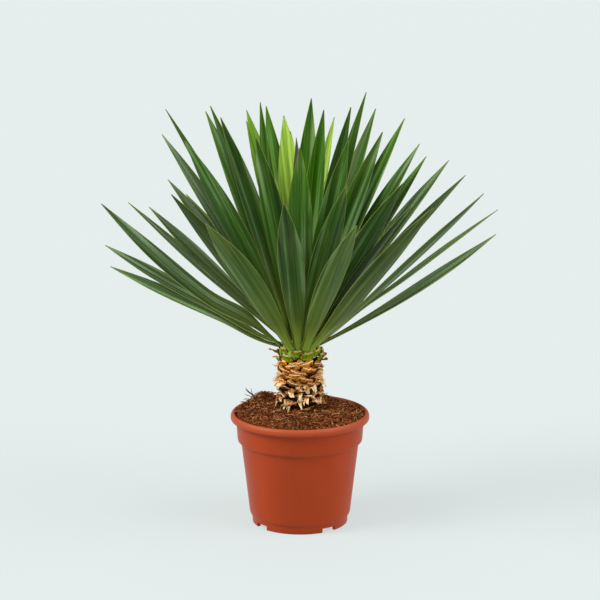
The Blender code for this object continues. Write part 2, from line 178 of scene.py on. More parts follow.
# Leaves that are lighter or darker than the rest
LEAF_LIGHTNESS = {
    0.5: (12,), 0.55: (25, 27), 0.7: (14, 20, 26), 0.76: (23, 47),
    0.85: (2, 8, 17, 24, 38, 48, 49, 50), 1.12: (11, 43, 46), 1.22: (33, 34), 1.26: (3, 45),
    1.3: (18, 22, 35, 39, 40, 41), 1.62: (1, 36, 51),
}
USUAL_LIGHTNESS = 0.98

# Pot outline as radius and height in mm: under the floor, down the foot, up the outside, over the lip
# and down inside
POT_OUTLINE = (
    (2, 12.8), (64, 12.8), (66, 12.2), (66.7, 10), (67, 0.6), (67.5, 0), (71.9, 0), (72.4, 0.6),
    (72.7, 10.5), (73.1, 12.4), (74.2, 13.1), (75.7, 14.4), (76.3, 16), (77, 21), (83, 73.5),
    (88.7, 121.5), (89.3, 125.6), (89.7, 126.4), (92.4, 127.1), (93.6, 127.9), (94.3, 129.1),
    (94.6, 130.7), (95.6, 145), (96.6, 158), (96.9, 159.2), (97.8, 159.7), (102, 160),
    (103.6, 160.4), (104.5, 161.4), (105, 163), (105, 165), (104.6, 167.2), (103.8, 169),
    (102.5, 170.3), (100.8, 171), (99.5, 170.7), (98.5, 169.6), (97.1, 164), (95.3, 160.4),
    (94.8, 159), (92.9, 130.8), (92.5, 129), (88.5, 127), (87.7, 125.5), (75.5, 20), (74.8, 15.2),
    (70, 14.8), (2, 14.8),
)
NOTCH_TURNS = (-53, 37)
NOTCH_BAR = (0.2, 0.023, 0.013)
DRAIN_COUNT = 8
DRAIN_CIRCLE = 0.05
DRAIN_RADIUS = 0.005
FLOOR_TOP = 0.0148

# Soil: its sides inside the pot as radius and height, then rings in to the middle, domed to the stem
SOIL_SIDES = ((CLOSED, 0.0154), (0.0742, 0.0154), (0.0872, 0.1258), (0.0922, 0.131), (0.0945, 0.16))
SOIL_RIM = 0.1693
SOIL_MIDDLE = 0.179
SOIL_WALL = 0.0955
SOIL_RINGS = 55
RING_STEP = 0.0017
# Loose things lie from the stem to this near the wall
LOOSE_INNER = 0.028
LOOSE_MARGIN = 0.002

# Coir fibres on the soil: colour, share of all, how far they bend and half their thickness in mm
COIR = (("coir_fibre_dark", "#3c1a08", 0.32, 0.3, 0.42), ("coir_fibre_brown", "#a35c30", 0.48, 0.5, 0.42),
        ("coir_fibre_pale", "#dca26c", 0.2, 0.8, 0.32))
FIBRE_LENGTH = 0.014
# Loose fibres that stand up at the back left: place and length in mm, lean and turn in degrees
TUFT = ((-71, 62, 176, 22, 34, 180), (-72, 60, 175, 19, 25, 200), (-70, 64, 176, 20, 44, 175),
        (-71, 61, 176, 16, 12, 150), (-73, 62, 175, 15, 50, 190), (-70, 62, 176, 14, 30, 215),
        (-54, 69, 175, 14, 40, 182), (-53, 70, 175, 11, 30, 170), (-77, 55, 174, 10, 55, 200))
TUFT_KIND = "coir_fibre_brown"
CRUMB_RADIUS = 0.0016

# Camera at the photograph's angle
CAMERA_PLACE = (0, -3.17, 1.0642)
CAMERA_TILT = 77.2
CAMERA_LENS = 130.5
FLOOR_SIZE = 120
WORLD_STRENGTH = 0.3
# Studio lights: strength, then how wide, how steep and from which side, in degrees
LIGHTS = (("key_light", 2.6, 30, 50, -70), ("side_light", 1.6, 50, 55, 74),
          ("top_light", 0.9, 60, 6, 0))


def linear(code):
    """Turn an sRGB hex value into a linear colour."""
    parts = [int(code[at:at + 2], 16) / 255 for at in (1, 3, 5)]
    return [part / 12.92 if part <= 0.04045 else ((part + 0.055) / 1.055) ** 2.4 for part in parts] + [1]


def colour(label, code):
    """A colour that a user may change."""
    return FloatVectorProperty(name=label, description=f"Colour of the {label.lower()}",
                               subtype="COLOR", size=4, min=0, max=1, default=linear(code))


class YuccaSizes(bpy.types.PropertyGroup):
    """Sizes of what the scene adds to the frame."""

    leaf_thickness: FloatProperty(
        name="Leaf thickness", description="Thickness of a leaf along its rib",
        default=0.0016, min=0.0006, max=0.003, subtype="DISTANCE", unit="LENGTH")
    leaf_pleat: FloatProperty(
        name="Leaf pleat", description="Depth of the long pleats in a leaf",
        default=0.00012, min=0, max=0.001, subtype="DISTANCE", unit="LENGTH")
    fibre_count: IntProperty(
        name="Fibres", description="Number of coir fibres on the soil", default=2400, min=0, max=4000)
    crumb_count: IntProperty(
        name="Crumbs", description="Number of peat crumbs on the soil", default=900, min=0, max=3000)
    pot_sides: IntProperty(
        name="Pot sides", description="Facets round the pot", default=144, min=48, max=288)


class YuccaColours(bpy.types.PropertyGroup):
    """Colours of the finishes."""

    leaf_deep: colour("Deep leaf", "#3e631a")
    leaf_vivid: colour("Inner leaf", "#365f0a")
    leaf_grey: colour("Grey-green leaf", "#546a40")
    leaf_olive: colour("Olive leaf", "#4e6826")
    leaf_warm: colour("Olive patches on a leaf", "#566828")
    leaf_low: colour("Olive lower third of a leaf", "#64722a")
    leaf_bloom: colour("Waxy bloom on the leaf", "#86a478")
    leaf_margin: colour("Leaf margin", "#9ca64a")
    leaf_base: colour("Leaf base", "#9ab43e")
    # Painted shade: darkens a leaf's margins near its root, where the leaf bases overlap
    leaf_root_shade: colour("Painted shade between the leaf bases", "#1a2606")
    leaf_tip: colour("Leaf tip", "#80682e")
    young: colour("Young leaf", "#c0e65a")
    young_fresh: colour("Fresh green leaf", "#88b83a")
    young_mid: colour("Half-grown leaf", "#5f9a34")
    young_grey: colour("Grey spear", "#77777a")
    scale_face: colour("Dry scale", "#ea8e08")
    scale_brown: colour("Brown torn strip", "#b87018")
    scale_cut: colour("Inside and torn edge of a dry scale", "#d89644")
    scale_pith: colour("Pith of a cut dry scale", "#aa743e")
    # Dark brown of stains and of the roots of dry bases, also used as painted shade at their roots and
    # along the margins of fresh bases
    dark_brown_and_shade: colour("Root of a dry scale", "#321804")
    bleached_face: colour("Golden side of a torn strip", "#d88418")
    bleached: colour("Bleached strip", "#fee4b4")
    sheath_dry: colour("Dried leaf sheath", "#a86a42")
    stub_face: colour("Foot of a fresh leaf base", "#9cb60c")
    stub_olive: colour("Top of a fresh leaf base", "#626a0e")
    stub_dry: colour("Dry streaks and margins of a fresh leaf base", "#9c6e28")
    stub_cut: colour("Cut end of a fresh leaf base", "#ccb06a")
    stem_fibre: colour("Fibre of the dry stem", "#4a2a14")
    stem_flesh: colour("Green stem", "#4a4818")
    soil: colour("Soil", "#86461f")
    crumb: colour("Peat crumbs", "#8c5029")
    pot: colour("Pot plastic", "#a53a10")
    # Pale scuffs on the pot, and a painted highlight along its lip
    pot_scuff_and_highlight: colour("Scuffed pot plastic and painted lip highlight", "#cf7a58")
    floor: colour("Floor", "#e5eeed")


# Tools for meshes

def select(*things):
    """Select these things alone, the first of them active, so that the next operator acts on them."""
    bpy.ops.object.select_all(action="DESELECT")
    for thing in things:
        thing.select_set(True)
    if things:
        bpy.context.view_layer.objects.active = things[0]


def added(operator, **settings):
    """Add an object while nothing else is selected."""
    select()
    operator(**settings)
    return bpy.context.object


def joined(parts):
    """Apply the places of several objects and join them into one."""
    select(*parts)
    bpy.ops.object.transform_apply()
    bpy.ops.object.join()
    return bpy.context.object


def keep(piece, name, finish, smooth=40):
    """Name a finished piece, smooth it, set its material and put it on the plant's body."""
    select(piece)
    bpy.ops.object.transform_apply()
    bpy.ops.object.shade_smooth_by_angle(angle=radians(smooth))
    piece.name = piece.data.name = name
    piece.data.materials.clear()
    piece.data.materials.append(finish)
    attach(piece, "root")
    return piece


def apply_modifier(thing, kind, **settings):
    """Add a modifier with its settings and apply it."""
    select(thing)
    change = thing.modifiers.new("change", kind)
    for key, value in settings.items():
        setattr(change, key, value)
    bpy.ops.object.modifier_apply(modifier=change.name)


def blend(table, place):
    """Read a value from a table of places and values, along straight lines between them."""
    return float(np.interp(place, *zip(*table)))


def round_point(turn, radius, level):
    """The point at a turn in radians, a distance from the axis and a height."""
    return Vector((radius * cos(turn), radius * sin(turn), level))


def lathe(outline, sides):
    """Extrude a ring of edges along an outline, ring by ring, and close both ends."""
    radius, level = outline[0]
    thing = added(bpy.ops.mesh.primitive_circle_add, vertices=sides, radius=radius,
                  location=(0, 0, level))
    bpy.ops.object.mode_set(mode="EDIT")
    bpy.ops.mesh.select_mode(type="EDGE")
    bpy.ops.mesh.select_all(action="SELECT")
    for wide, high in outline[1:]:
        bpy.ops.mesh.extrude_edges_move(TRANSFORM_OT_translate={"value": (0, 0, high - level)})
        bpy.ops.transform.resize(value=(wide / radius, wide / radius, 1),
                                 center_override=(0, 0, 0))
        radius, level = wide, high
    bpy.ops.mesh.select_all(action="SELECT")
    bpy.ops.mesh.fill_holes(sides=0)
    bpy.ops.mesh.normals_make_consistent(inside=False)
    bpy.ops.object.mode_set(mode="OBJECT")
    bpy.ops.object.transform_apply()
    return thing


def sheet(columns, rows, place, thick, tone, weight=None):
    """A thin piece shaped from a grid: place(u, v) gives a point for u from -1 to 1 and v from 0 to 1.

    It gets a UV map in millimetres, the distance along it and in from its margins, and its tone.
    """
    thing = added(bpy.ops.mesh.primitive_grid_add, x_subdivisions=columns, y_subdivisions=rows, size=2)
    mesh = thing.data
    flat = [(vertex.co.x, 0.5 * (vertex.co.y + 1)) for vertex in mesh.vertices]
    row_of = [round(along * rows) for _, along in flat]
    points = [place(across, along) for across, along in flat]
    lines = [{} for _ in range(rows + 1)]
    for (across, _), row, point in zip(flat, row_of, points):
        lines[row][round(across * columns)] = point
    half = [0.5 * (line[columns] - line[-columns]).length / MM for line in lines]
    walked = [0]
    for last, line in zip(lines, lines[1:]):
        walked.append(walked[-1] + (line[0] - last[0]).length / MM)
    mesh.vertices.foreach_set("co", [value for point in points for value in point])
    uv = mesh.uv_layers[0]
    uv.name = "sheet"
    for loop in mesh.loops:
        row = row_of[loop.vertex_index]
        uv.data[loop.index].uv = (flat[loop.vertex_index][0] * half[row], walked[row])
    marks = {"along": [along for _, along in flat], "tone": [tone] * len(flat),
             "inset": [(1 - abs(across)) * half[row] for (across, _), row in zip(flat, row_of)]}
    for name, values in marks.items():
        mesh.attributes.new(name, "FLOAT", "POINT").data.foreach_set("value", values)
    group = thing.vertex_groups.new(name="thick")
    for index, (across, along) in enumerate(flat):
        group.add([index], weight(across, along) if weight else 1, "REPLACE")
    apply_modifier(thing, "SOLIDIFY", thickness=thick, offset=0, vertex_group="thick")
    thing.vertex_groups.clear()
    inner = thing.data.attributes.new("inner", "FLOAT", "POINT")
    inner.data.foreach_set("value", [float(index >= len(flat)) for index in range(len(inner.data))])
    return thing


# Tools for materials

def plug(tree, node, inputs):
    """Set each input of a node to a value, or link it to a socket."""
    for key, value in inputs.items():
        if isinstance(value, bpy.types.NodeSocket):
            tree.links.new(value, node.inputs[key])
        else:
            node.inputs[key].default_value = value


def add(tree, kind, inputs, out=0, stops=(), **settings):
    """Add a node with its inputs and settings, and return one of its outputs."""
    node = tree.nodes.new("ShaderNode" + kind)
    for key, value in settings.items():
        setattr(node, key, value)
    if stops:
        ramp = node.color_ramp.elements
        while len(ramp) < len(stops):
            ramp.new(0.5)
        for element, (position, shade) in zip(ramp, stops):
            element.position = position
            element.color = shade
    plug(tree, node, inputs)
    return node.outputs[out]


def new_finish(name):
    """A new material and its tree."""
    finish = bpy.data.materials.new(name)
    finish.use_nodes = True
    return finish, finish.node_tree


def tinted(shade, shares):
    """A colour whose red, green and blue are each made stronger or weaker."""
    return [part * share for part, share in zip(shade, shares)] + [1]


def sheet_marks(tree, mark):
    """What a pattern reads on a sheet: its place in mm, the distance along it, its tone and one more mark.

    The place is moved by the tone, so that no two sheets have the same pattern.
    """
    along, tone, other = [add(tree, "Attribute", {}, "Fac", attribute_name=name)
                          for name in ("along", "tone", mark)]
    uv = add(tree, "UVMap", {}, uv_map="sheet")
    moved = add(tree, "VectorMath", {0: uv, 1: add(tree, "CombineXYZ", {"Z": tone})}, operation="ADD")
    return moved, along, tone, other


def layered(tree, base, layers):
    """Lay colours over a base, each by a share that runs from start to end as its source runs from
    low to high."""
    for source, low, high, start, end, shade in layers:
        share = add(tree, "MapRange", {0: source, 1: low, 2: high, 3: start, 4: end})
        base = add(tree, "Mix", {0: share, 6: base, 7: shade}, 2, data_type="RGBA")
    return base


def surface(finish, base, rough, gleam, relief, strength, depth):
    """Give a finish its colour, roughness, specular level and bump."""
    tree = finish.node_tree
    bump = add(tree, "Bump", {"Strength": strength, "Distance": depth, "Height": relief})
    plug(tree, tree.nodes["Principled BSDF"], {"Base Color": base, "Roughness": rough,
                                               "Specular IOR Level": gleam, "Normal": bump})
    return finish


def grown_leaf(name, body, colours, bloom, gloss, olive=0.55):
    """A stiff grown leaf: long veins, bands of grey bloom, a thin yellow margin and a dry tip.

    Veins lie about 1 mm apart and gather in bands 3 to 6 mm wide, under a softly shining wax.
    """
    finish, tree = new_finish(name)
    moved, along, tone, inset = sheet_marks(tree, "inset")
    drawn = add(tree, "Mapping", {"Vector": moved, "Scale": (1, 0.01, 40)})
    bands = add(tree, "TexNoise", {"Vector": drawn, "Scale": 0.16, "Detail": 4})
    veins = add(tree, "TexNoise", {"Vector": drawn, "Scale": 0.55, "Detail": 3})
    wide = add(tree, "Mapping", {"Vector": moved, "Scale": (0.07, 0.01, 70)})
    patches = add(tree, "TexNoise", {"Vector": wide, "Scale": 1, "Detail": 2})
    lift = add(tree, "MapRange", {0: bands, 1: 0.37, 2: 0.63})
    fine = add(tree, "MapRange", {0: veins, 1: 0.32, 2: 0.68})
    dim, lit = tinted(body, (0.42, 0.54, 0.28)), tinted(body, (1.5, 1.38, 1.75))
    base = add(tree, "Mix", {0: lift, 6: dim, 7: lit}, 2, data_type="RGBA")
    dim, lit = (0.48, 0.57, 0.4, 1), (1.54, 1.46, 1.66, 1)
    vein = add(tree, "Mix", {0: fine, 6: dim, 7: lit}, 2, data_type="RGBA")
    base = add(tree, "Mix", {0: 1, 6: base, 7: vein}, 2, data_type="RGBA", blend_type="MULTIPLY")
    wax = add(tree, "Math", {0: lift, 1: patches}, operation="MULTIPLY")
    base = layered(tree, base, (
        (patches, 0.52, 0.66, 0, olive, colours.leaf_warm),
        (wax, 0.34, 0.58, 0, bloom, colours.leaf_bloom)))
    base = add(tree, "HueSaturation", {"Color": base, "Value": tone})
    # Painted shade along the margins near the root, where each leaf base is overlapped by its neighbours
    root_shade_share = add(tree, "MapRange", {0: along, 1: 0.14, 2: 0.34, 3: 0.95, 4: 0})
    base = layered(tree, base, (
        (along, 0.2, 0.55, olive, 0, colours.leaf_low),
        (along, 0.08, 0.28, 0.75, 0, colours.leaf_base),
        (inset, 0.8, 3.6, root_shade_share, 0, colours.leaf_root_shade),
        (inset, 0.25, 0.7, 0.72, 0, colours.leaf_margin),
        (along, 0.986, 1, 0, 0.8, colours.leaf_tip)))
    rough = add(tree, "MapRange", {0: patches, 1: 0.3, 2: 0.7, 3: gloss, 4: gloss + 0.14})
    relief = add(tree, "Math", {0: fine, 1: 0.6, 2: lift}, operation="MULTIPLY_ADD")
    return surface(finish, base, rough, 0.13, relief, 0.3, 0.0004)


def dry_base(name, face, inside, colours, torn, cut=UNCUT):
    """A dry leaf base: papery fibre, dark brown at its root with painted shade there, golden outside,
    pale inside and where it is torn.

    Its strands lie about 1.2 mm apart and its stains are about 5 mm wide. A base that was cut has a
    pale line along the edge of its cut, bleached fibre with a painted highlight on its crease, and
    brownish pith on the cut.
    """
    finish, tree = new_finish(name)
    moved, along, tone, inner = sheet_marks(tree, "inner")
    drawn = add(tree, "Mapping", {"Vector": moved, "Scale": (1, 0.14, 60)})
    strands = add(tree, "TexNoise", {"Vector": drawn, "Scale": 0.8, "Detail": 3})
    wide = add(tree, "Mapping", {"Vector": moved, "Scale": (0.19, 0.24, 90)})
    stains = add(tree, "TexNoise", {"Vector": wide, "Scale": 1, "Detail": 3})
    edge = add(tree, "Math", {0: strands, 1: 0.4, 2: along}, operation="MULTIPLY_ADD")
    line = add(tree, "Math", {0: strands, 1: 0.12, 2: along}, operation="MULTIPLY_ADD")
    line = add(tree, "Math", {0: line, 1: cut + 0.08}, operation="SUBTRACT")
    line = add(tree, "Math", {0: line}, operation="ABSOLUTE")
    base = layered(tree, tinted(face, (0.3, 0.17, 0.04)), (
        (strands, 0.34, 0.54, 0, 1, face),
        (stains, 0.56, 0.64, 0, along, inside),
        (stains, 0.38, 0.49, 0.9, 0, colours.dark_brown_and_shade),
        (inner, 0, 1, 0, 0.15, inside),
        (edge, torn, torn + 0.12, 0, 0.92, inside),
        (along, cut, cut + 0.08, 0, 0.75, colours.scale_pith),
        # Pale line along the crease of the cut: bleached fibre with a painted highlight
        (line, 0.015, 0.05, 0.8, 0, colours.bleached),
        # Dark brown towards the root, deepened as painted shade where the piece lies under its neighbours
        (along, 0.14, 0.45, 0.97, 0, colours.dark_brown_and_shade)))
    value = add(tree, "MapRange", {0: tone, 3: 0.76, 4: 1.36})
    base = add(tree, "HueSaturation", {"Color": base, "Value": value})
    return surface(finish, base, 0.68, 0.05, strands, 0.6, 0.0006)


def fresh_base(colours):
    """The base of a leaf cut off green: lime at its foot, olive above, brown margins edged with a
    painted dark line of shade, and a pithy end.

    Its veins lie about 2 mm apart.
    """
    finish, tree = new_finish("fresh_leaf_base")
    moved, along, _, inset = sheet_marks(tree, "inset")
    drawn = add(tree, "Mapping", {"Vector": moved, "Scale": (1, 0.12, 60)})
    veins = add(tree, "TexNoise", {"Vector": drawn, "Scale": 0.55, "Detail": 3})
    streaks = add(tree, "MapRange", {0: along, 1: 0.35, 2: 0.7, 3: 0, 4: 0.42})
    end = add(tree, "Math", {0: veins, 1: 0.16, 2: along}, operation="MULTIPLY_ADD")
    base = layered(tree, tinted(colours.stub_face, (0.4, 0.48, 0.5)), (
        (veins, 0.38, 0.62, 0, 1, colours.stub_face),
        (along, 0.35, 0.7, 0, 0.7, colours.stub_olive),
        (veins, 0.56, 0.68, 0, streaks, colours.stub_dry),
        (inset, 1.8, 3.4, 0.75, 0, colours.stub_dry),
        # Painted shade: a dark line along the margins where the bases overlap, over their brown dry edges
        (inset, 1, 1.9, 0.9, 0, colours.dark_brown_and_shade),
        (end, 0.95, 1, 0, 0.95, colours.stub_cut)))
    return surface(finish, base, 0.5, 0.04, veins, 0.3, 0.0004)


def rough_ground(name, shade, size, depth):
    """Dull crumbly or fibrous stuff whose colour changes from grain to grain; size is that of a grain."""
    finish, tree = new_finish(name)
    place = add(tree, "TexCoord", {}, "Object")
    grains = add(tree, "TexNoise", {"Vector": place, "Scale": 1 / size, "Detail": 4, "Roughness": 0.7})
    stops = [(spot, tinted(shade, (share,) * 3))
             for spot, share in ((0.34, 0.06), (0.48, 0.5), (0.57, 1.2), (0.7, 2.3))]
    shades = add(tree, "ValToRGB", {"Fac": grains}, stops=stops)
    return surface(finish, shades, 0.95, 0.1, grains, 0.8, depth)


def moulded_polypropylene(colours):
    """Moulded polypropylene: one colour all through, satin, faint flow marks, and a painted highlight
    that makes its lip paler.

    Flow marks are about 70 mm wide and taller. Scuffs are drawn 2 mm wide, the least that shows.
    """
    finish, tree = new_finish("moulded_polypropylene")
    place = add(tree, "TexCoord", {}, "Object")
    tall = add(tree, "Mapping", {"Vector": place, "Scale": (1, 1, 0.35)})
    clouds = add(tree, "TexNoise", {"Vector": tall, "Scale": 14, "Detail": 3})
    scuffs = add(tree, "TexNoise", {"Vector": place, "Scale": 420, "Detail": 4})
    height = add(tree, "SeparateXYZ", {"Vector": place}, "Z")
    base = layered(tree, tinted(colours.pot, (0.92,) * 3), (
        (clouds, 0.35, 0.65, 0, 1, tinted(colours.pot, (1.08,) * 3)),
        # Painted highlight: the lip is made paler towards its top
        (height, 0.16, 0.169, 0, 0.26, colours.pot_scuff_and_highlight),
        (scuffs, 0.6, 0.75, 0, 0.1, colours.pot_scuff_and_highlight)))
    rough = add(tree, "MapRange", {0: clouds, 1: 0.3, 2: 0.7, 3: 0.36, 4: 0.48})
    tree.nodes["Principled BSDF"].inputs["IOR"].default_value = 1.49
    return surface(finish, base, rough, 0.18, scuffs, 0.12, 0.0003)


# Leaves

def group_of(groups, number, usual):
    """The name of the group that holds a number."""
    return next((name for name, members in groups.items() if number in members), usual)


def read_leaf(node, count):
    """Left margin, rib and right margin of a leaf of the frame, at count places from root to tip."""
    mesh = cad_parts[node].data
    points = np.array([vertex.co[:] for vertex in mesh.vertices])
    corners = np.array([face.vertices[:] for face in mesh.polygons])
    starts = points[corners].reshape(-1, 3)
    ends = points[np.roll(corners, -1, axis=1)].reshape(-1, 3)
    far = points[np.argmax(norm(points - np.array(ROSETTE_MIDDLE), axis=1))]
    tip = points[norm(points - far, axis=1) < NEAR_TIP].mean(axis=0)
    outward = tip - points.mean(axis=0)
    reach = points @ (outward / norm(outward))
    root = points[reach < reach.min() + NEAR_ROOT].mean(axis=0)
    length = norm(tip - root)
    ahead = (tip - root) / length
    side = np.array((-ahead[1], ahead[0], 0))
    side /= norm(side)
    rows = []
    for place in np.linspace(0.004, 0.996, count):
        level = (root + ahead * length * place) @ ahead
        before, after = starts @ ahead - level, ends @ ahead - level
        hit = (before < 0) != (after < 0)
        share = (before[hit] / (before[hit] - after[hit]))[:, None]
        ring = starts[hit] + (ends[hit] - starts[hit]) * share
        for _ in range(2):
            spread = ring @ side
            low = ring[spread < spread.min() + NEAR_MARGIN].mean(axis=0)
            high = ring[spread > spread.max() - NEAR_MARGIN].mean(axis=0)
            side = (high - low) / norm(high - low)
        normal = np.cross(ahead, side)
        bottom = ring[np.argmin(ring @ normal)]
        middle = 0.5 * (low + high)
        rows.append((low, middle + normal * ((bottom - middle) @ normal + RIB_LIFT), high))
    lines = np.array(rows)
    for _ in range(3):
        lines[1:-1] = 0.25 * lines[:-2] + 0.5 * lines[1:-1] + 0.25 * lines[2:]
    return [[Vector(point) for point in row] for row in lines]


def draw_leaf(root, tip, turn, width, roll, arch, number):
    """Left margin, rib and right margin of a young leaf, row by row from root to tip."""
    length = (tip - root).length
    ahead = (tip - root) / length
    tangent = Vector((-sin(turn), cos(turn), 0))
    tangent = (tangent - ahead * tangent.dot(ahead)).normalized()
    middle = (root + tip) * 0.5 + ahead.cross(tangent) * 2 * arch
    middle += tangent * (0.01 * length * sin(1.7 * number + 0.5))
    rows = []
    for step in range(YOUNG_ROWS):
        place = step / (YOUNG_ROWS - 1)
        rest = 1 - place
        centre = root * rest * rest + middle * (2 * place * rest) + tip * place * place
        course = ((middle - root) * rest + (tip - middle) * place).normalized()
        twist = Matrix.Rotation(roll * min(1, place / ROLL_SHARE), 3, course)
        across = twist @ (tangent - course * tangent.dot(course)).normalized()
        half = 0.5 * width * blend(YOUNG_PROFILE, place)
        lift = course.cross(across) * 0.2 * half
        rows.append((centre - across * half + lift, centre, centre + across * half + lift))
    return rows


def sheath_row(turn, level, drop, half):
    """A row of a leaf's base that clasps the stem under its root; the lower a leaf, the further out."""
    radius = blend(CORE, level - drop) + 0.0006 + 0.1 * max(0, 0.3 - level)
    spread = half / radius
    return [round_point(turn + side * spread, radius + out, level - drop)
            for side, out in ((-1, -0.0008), (0, 0.0014), (1, -0.0008))]


def reshaped(rows, roll, low_width, sag, dip=0, dip_place=0, swell=0):
    """The rows of a leaf rolled about its rib, wider or narrower in its lower half and bent down."""
    line = (rows[-1][1] - rows[0][1]).normalized()
    made = []
    for step, (left, rib, right) in enumerate(rows):
        place = step / (len(rows) - 1)
        turned = Matrix.Rotation(radians(roll) * min(1, place / ROLL_SHARE), 3, line)
        near = exp(-((place - dip_place) / DIP_LENGTH) ** 2)
        width = blend(((0.35, low_width), (0.75, 1), (1, 1)), place) * (1 + swell * near)
        middle = rib - Vector((0, 0, (sag * sin(pi * place) + dip * near) * MM))
        made.append([middle + turned @ (point - rib) * width for point in (left, rib, right)])
    return made


def make_blade(name, rows, sizes, finish, tone, seed, wave):
    """One leaf blade along its margins and rib, with shallow uneven pleats along it."""
    count = len(rows) - 1
    length = (rows[-1][1] - rows[0][1]).length

    def place(across, along):
        row = round(along * count)
        left, rib, right = rows[row]
        reach = (right - left) * 0.5
        bow = (left + right) * 0.5 - rib
        course = rows[min(count, row + 1)][1] - rows[max(0, row - 1)][1]
        normal = course.cross(reach).normalized()
        swell = sin(pi * min(1, along * 1.05))
        pleat = 0.6 * cos((5 + 4 * seed) * across + 9 * seed)
        pleat += 0.4 * cos((11 - 3 * seed) * across + 20 * seed + 1.5 * along)
        ripple = wave * across * sin(9 * along + 3 * seed)
        lift = swell * (sizes.leaf_pleat * pleat + ripple * length)
        return rib + reach * across + bow * abs(across) ** 1.2 + normal * lift

    def weight(across, along):
        return (0.4 + 0.6 * (1 - across * across)) * (1 - 0.55 * min(1, along * 1.2))

    blade = sheet(16, count, place, sizes.leaf_thickness * 1.6, tone + 0.06 * seed, weight)
    return keep(blade, name, finish, 70)


class YUCCA_OT_leaves(bpy.types.Operator):
    """Makes each grown leaf from its solid in the frame, with a clasping base"""

    bl_idname = "yucca.leaves"
    bl_label = "Grown leaves"

    def execute(self, context):
        sizes, colours = context.scene.yucca_sizes, context.scene.yucca_colours
        finishes = {
            "deep": grown_leaf("waxy_leaf_deep", colours.leaf_deep, colours, 0.62, 0.38),
            "vivid": grown_leaf("waxy_leaf_vivid", colours.leaf_vivid, colours, 0.35, 0.38, 0.2),
            "grey": grown_leaf("waxy_leaf_grey", colours.leaf_grey, colours, 0.7, 0.42),
            "olive": grown_leaf("waxy_leaf_olive", colours.leaf_olive, colours, 0.4, 0.42, 0.7),
        }
        draw = random.Random(11)
        for node in sorted(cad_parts):
            if not node.startswith("leaf_"):
                continue
            number = int(node[-2:])
            rows = read_leaf(node, LEAF_ROWS)
            for row, widen in enumerate(ROOT_WIDENING):
                left, rib, right = rows[row]
                rows[row] = [rib + (left - rib) * widen, rib, rib + (right - rib) * widen]
            if number in RESHAPED:
                rows = reshaped(rows, *RESHAPED[number])
            root = rows[0][1]
            turn = atan2(root.y, root.x)
            rows = [sheath_row(turn, root.z, drop, half) for drop, half in SHEATH] + rows
            finish = finishes[group_of(LEAF_FINISHES, number, "deep")]
            tone = group_of(LEAF_LIGHTNESS, number, USUAL_LIGHTNESS)
            blade = make_blade(f"blade_{number:02d}", rows, sizes, finish, tone,
                               draw.random(), 0.0008 * draw.uniform(-1, 1))
            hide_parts(node)
        return {"FINISHED"}


class YUCCA_OT_heart(bpy.types.Operator):
    """Makes the young leaves about the growing tip"""

    bl_idname = "yucca.heart"
    bl_label = "Young leaves"

    def execute(self, context):
        sizes, colours = context.scene.yucca_sizes, context.scene.yucca_colours
        finishes = {kind: grown_leaf("young_leaf_" + kind, shade, colours, bloom, gloss, 0)
                    for kind, shade, bloom, gloss in (("lime", colours.young, 0, 0.42),
                                                      ("fresh", colours.young_fresh, 0, 0.42),
                                                      ("green", colours.young_mid, 0.1, 0.42),
                                                      ("grey", colours.young_grey, 0.3, 0.5))}
        for number, (label, kind, turn, rise, reach, width, roll, arch) in enumerate(YOUNG_LEAVES):
            turn, rise = radians(turn), radians(rise)
            tip = ROSETTE_MIDDLE + round_point(turn, cos(rise), sin(rise)) * (reach * MM)
            root = round_point(turn, YOUNG_ROOT_OUT, YOUNG_ROOT_LEVEL)
            rows = draw_leaf(root, tip, turn, width * MM, radians(roll), arch * MM, number)
            tone = 0.72 if label == "right_lime" else 1
            blade = make_blade(f"young_{label}", rows, sizes, finishes[kind], tone,
                               0.1 * number, 0)
            if number == 0:
                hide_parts("heart")
        keep(lathe(BUD_OUTLINE, 24), "growing_tip", finishes["lime"], 60)
        return {"FINISHED"}


# Stem

def clasp(turn, level, radius, base, draw, ragged, droop=0):
    """A leaf base that clasps the stem: it leans out up to its cut, whose face turns back over it.

    base gives its reach from the stem, rise, width, thickness, how far one corner stands over the
    other and how far the cut face runs back, all in millimetres, then its outline as width by
    place, how far its corners stand off the stem, and the place where the cut begins.
    """
    reach, rise, width, thick, skew, back = [value * MM for value in base[:6]]
    outline, flare, cut = base[6:]
    tone = draw.random()
    jags = [draw.uniform(-ragged, ragged) for _ in range(17)]

    def place(across, along):
        jag = jags[round((across + 1) * 8)] + ragged * sin(2.5 * across + 20 * tone)
        stretch = 1 + jag * max(0, 2 * along - 1)
        turned = max(0, along - cut) / (1 - cut)
        out = (reach * min(1, along / cut) ** 1.15 - back * turned) * stretch
        hug = (0.0008 + 0.45 * out) * (1 - flare) * across * across
        away = radius - FOOT_SUNK + FOOT_RISE * min(1, 6 * along) + out - hug
        spread = across * 0.5 * width * blend(outline, along) / (radius + 0.6 * out)
        lift = rise * along * stretch - droop * along ** 3 + skew * across * along
        crumple = noise.noise_vector(Vector((4 * across, 3 * along, 50 * tone)))
        return round_point(turn + spread, away, level + lift) + crumple * (0.007 * ragged * along)

    def weight(across, along):
        return 0.2 + 0.8 * (1 - across * across) * min(1, 0.45 + 0.75 * along)

    return sheet(16, 8, place, thick, tone, weight)


def along_course(course, place):
    """A point on a smooth curve through a few points at even places."""
    last = len(course) - 1
    at = min(int(place * last), last - 1)
    share = place * last - at
    before, start, end, after = (course[max(0, min(last, at + step))] for step in (-1, 0, 1, 2))
    return [0.5 * (2 * s + (e - b) * share + (2 * b - 5 * s + 4 * e - a) * share ** 2 +
                   (3 * s - b - 3 * e + a) * share ** 3)
            for b, s, e, a in zip(before, start, end, after)]


